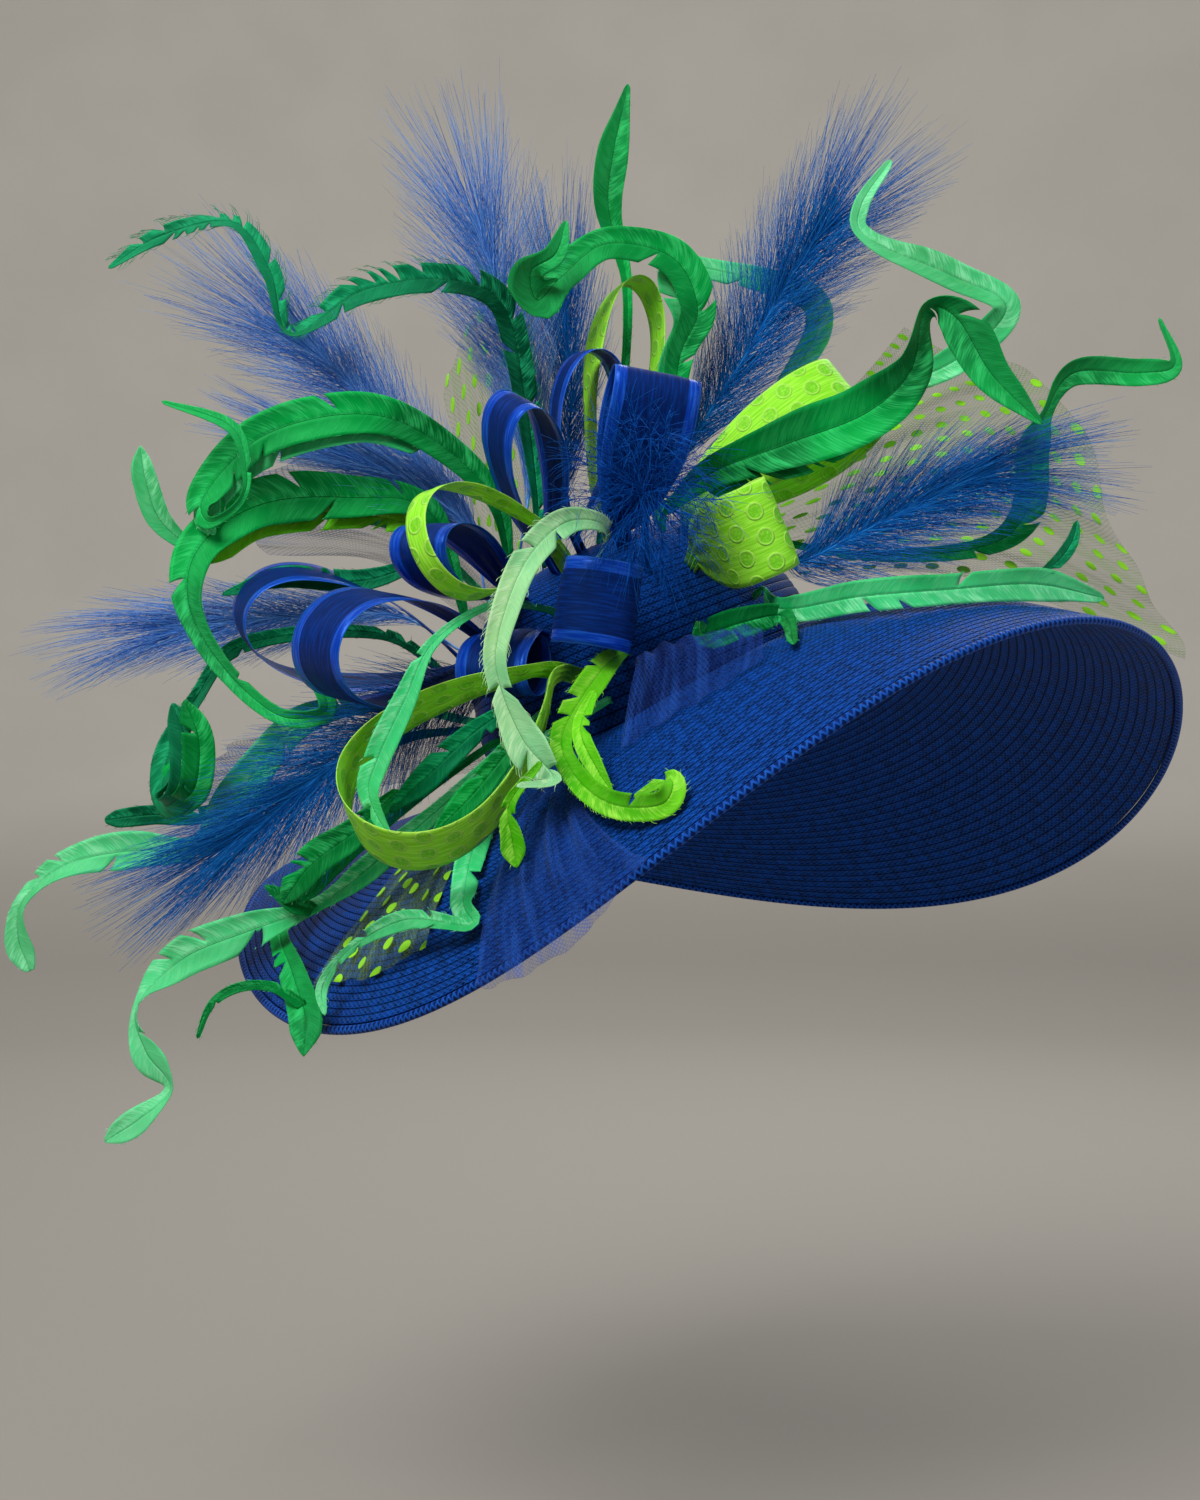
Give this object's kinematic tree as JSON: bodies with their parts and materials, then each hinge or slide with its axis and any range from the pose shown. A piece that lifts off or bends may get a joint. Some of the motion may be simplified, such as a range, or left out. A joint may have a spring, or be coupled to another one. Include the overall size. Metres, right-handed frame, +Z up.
{
  "type": "derby hat",
  "caption": "Wide-brimmed straw occasion hat with an oval crown, trimmed on one side with curled feathers, barbed plumes, looped ribbon and net.",
  "frame": {"origin": "centre of the head opening, where the hat sits on a head", "axes": "+X to the wearer's side where the brim sweeps up, +Y to the back of the view, +Z up; the hat is tilted 23 degrees about Y as it is worn"},
  "size_m": [0.6481, 0.4887, 0.5865],
  "materials": {
    "straw": "woven straw braid",
    "rim_edge": "satin braid",
    "feather_green": "satin",
    "feather_mint": "satin",
    "feather_dark": "satin",
    "feather_pale": "satin",
    "feather_lime": "satin",
    "plume": "matt",
    "ribbon_navy": "sheer with satin edges",
    "ribbon_lime": "matt with raised dots",
    "net_blue": "sheer net",
    "net_lime": "sheer net with dots"
  },
  "bodies": {
    "root": {"crown": "straw", "brim": "straw", "brim_edge": "rim_edge", "feather_left_arch": "feather_green", "feather_left_sweep": "feather_green", "feather_low_left": "feather_green", "feather_top_spike": "feather_green", "feather_top_arch": "feather_green", "feather_right_fold": "feather_green", "feather_right_tall": "feather_green", "feather_under_veil": "feather_green", "feather_left_tip": "feather_mint", "feather_long_twist": "feather_mint", "feather_front_thin": "feather_mint", "feather_front_hook": "feather_mint", "feather_mint": "feather_mint", "feather_right_ring": "feather_mint", "feather_brim_right": "feather_mint", "feather_left_hackle": "feather_dark", "feather_far_left_fold": "feather_dark", "feather_left_strip": "feather_dark", "feather_rim_drop": "feather_dark", "feather_pale": "feather_pale", "feather_lime_curl": "feather_lime", "plume_centre": "plume", "plume_left": "plume", "plume_top_left": "plume", "plume_top_right": "plume", "plume_right": "plume", "plume_far_left": "plume", "plume_low_left": "plume", "plume_left_low": "plume", "plume_back": "plume", "ribbon_left": "ribbon_navy", "ribbon_left_front": "ribbon_navy", "ribbon_rolled": "ribbon_navy", "ribbon_upper_left": "ribbon_navy", "ribbon_top_arch": "ribbon_navy", "ribbon_upright": "ribbon_navy", "ribbon_front": "ribbon_navy", "ribbon_low_front": "ribbon_navy", "ribbon_lime_front": "ribbon_lime", "ribbon_lime_behind": "ribbon_lime", "ribbon_lime_top": "ribbon_lime", "ribbon_lime_hanging": "ribbon_lime", "ribbon_lime_ring": "ribbon_lime", "net_front": "net_blue", "net_rim": "net_blue", "net_band": "net_blue", "net_left_low": "net_blue", "net_left_high": "net_blue", "net_dotted_right": "net_lime", "net_dotted_left": "net_lime", "net_dotted_top": "net_lime"}
  },
  "joints": []
}
